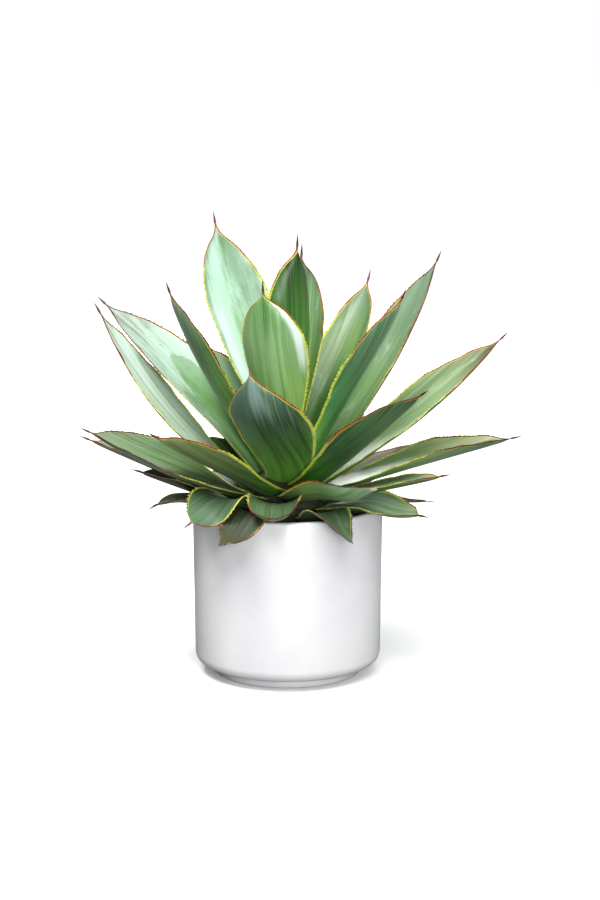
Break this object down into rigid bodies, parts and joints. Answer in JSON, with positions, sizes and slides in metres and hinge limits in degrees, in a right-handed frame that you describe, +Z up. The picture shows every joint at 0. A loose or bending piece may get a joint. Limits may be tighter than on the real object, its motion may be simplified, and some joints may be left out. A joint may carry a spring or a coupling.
{
  "type": "potted agave",
  "caption": "Rosette of stiff, spine-tipped blue-green leaves with toothed red and yellow edges, on a short stem in soil in a plain round white glazed pot.",
  "frame": {"origin": "centre of the pot's underside, on the surface it stands on", "axes": "+Z up along the pot's axis, -Y towards the front, +X to the right seen from the front"},
  "size_m": [0.3513, 0.2637, 0.355],
  "materials": {
    "pot": "glossy white glaze",
    "soil": "matt, damp potting mix",
    "stem": "matt, fibrous",
    "shoot": "waxy, satin",
    "leaf_01": "waxy, satin",
    "leaf_02": "waxy, satin",
    "leaf_03": "waxy, satin",
    "leaf_04": "waxy, satin",
    "leaf_05": "waxy, satin with a pale bloom",
    "leaf_06": "waxy, satin with a pale bloom",
    "leaf_07": "waxy, satin",
    "leaf_08": "waxy, satin with a pale bloom",
    "leaf_09": "waxy, satin with a pale bloom",
    "leaf_10": "waxy, satin with a pale bloom",
    "leaf_11": "waxy, satin with a pale bloom",
    "leaf_12": "waxy, satin with a pale bloom",
    "leaf_13": "waxy, satin with a pale bloom",
    "leaf_14": "waxy, satin with a pale bloom",
    "leaf_15": "waxy, satin with a pale bloom",
    "leaf_16": "waxy, satin with a pale bloom",
    "leaf_17": "waxy, satin with a pale bloom",
    "leaf_18": "waxy, satin with a pale bloom",
    "leaf_19": "waxy, satin with a pale bloom",
    "leaf_20": "dull, ageing",
    "leaf_21": "waxy, satin with a pale bloom",
    "leaf_22": "dull, ageing",
    "leaf_23": "waxy, satin with a pale bloom",
    "leaf_24": "waxy, satin with a pale bloom",
    "leaf_25": "dry, papery",
    "leaf_26": "waxy, satin with a pale bloom",
    "leaf_27": "dull, ageing",
    "leaf_28": "waxy, satin with a pale bloom",
    "leaf_29": "waxy, satin with a pale bloom",
    "leaf_30": "waxy, satin with a pale bloom",
    "leaf_31": "dull, ageing",
    "leaf_32": "dull, ageing",
    "leaf_33": "dull, ageing",
    "leaf_34": "dull, ageing",
    "leaf_35": "dull, ageing",
    "leaf_36": "dull, ageing",
    "leaf_37": "dull, ageing",
    "leaf_38": "dull, ageing"
  },
  "bodies": {
    "root": {"pot": "pot", "soil": "soil", "stem": "stem", "shoot": "shoot", "leaf_01": "leaf_01", "leaf_02": "leaf_02", "leaf_03": "leaf_03", "leaf_04": "leaf_04", "leaf_05": "leaf_05", "leaf_06": "leaf_06", "leaf_07": "leaf_07", "leaf_08": "leaf_08", "leaf_09": "leaf_09", "leaf_10": "leaf_10", "leaf_11": "leaf_11", "leaf_12": "leaf_12", "leaf_13": "leaf_13", "leaf_14": "leaf_14", "leaf_15": "leaf_15", "leaf_16": "leaf_16", "leaf_17": "leaf_17", "leaf_18": "leaf_18", "leaf_19": "leaf_19", "leaf_20": "leaf_20", "leaf_21": "leaf_21", "leaf_22": "leaf_22", "leaf_23": "leaf_23", "leaf_24": "leaf_24", "leaf_25": "leaf_25", "leaf_26": "leaf_26", "leaf_27": "leaf_27", "leaf_28": "leaf_28", "leaf_29": "leaf_29", "leaf_30": "leaf_30", "leaf_31": "leaf_31", "leaf_32": "leaf_32", "leaf_33": "leaf_33", "leaf_34": "leaf_34", "leaf_35": "leaf_35", "leaf_36": "leaf_36", "leaf_37": "leaf_37", "leaf_38": "leaf_38"}
  },
  "joints": []
}
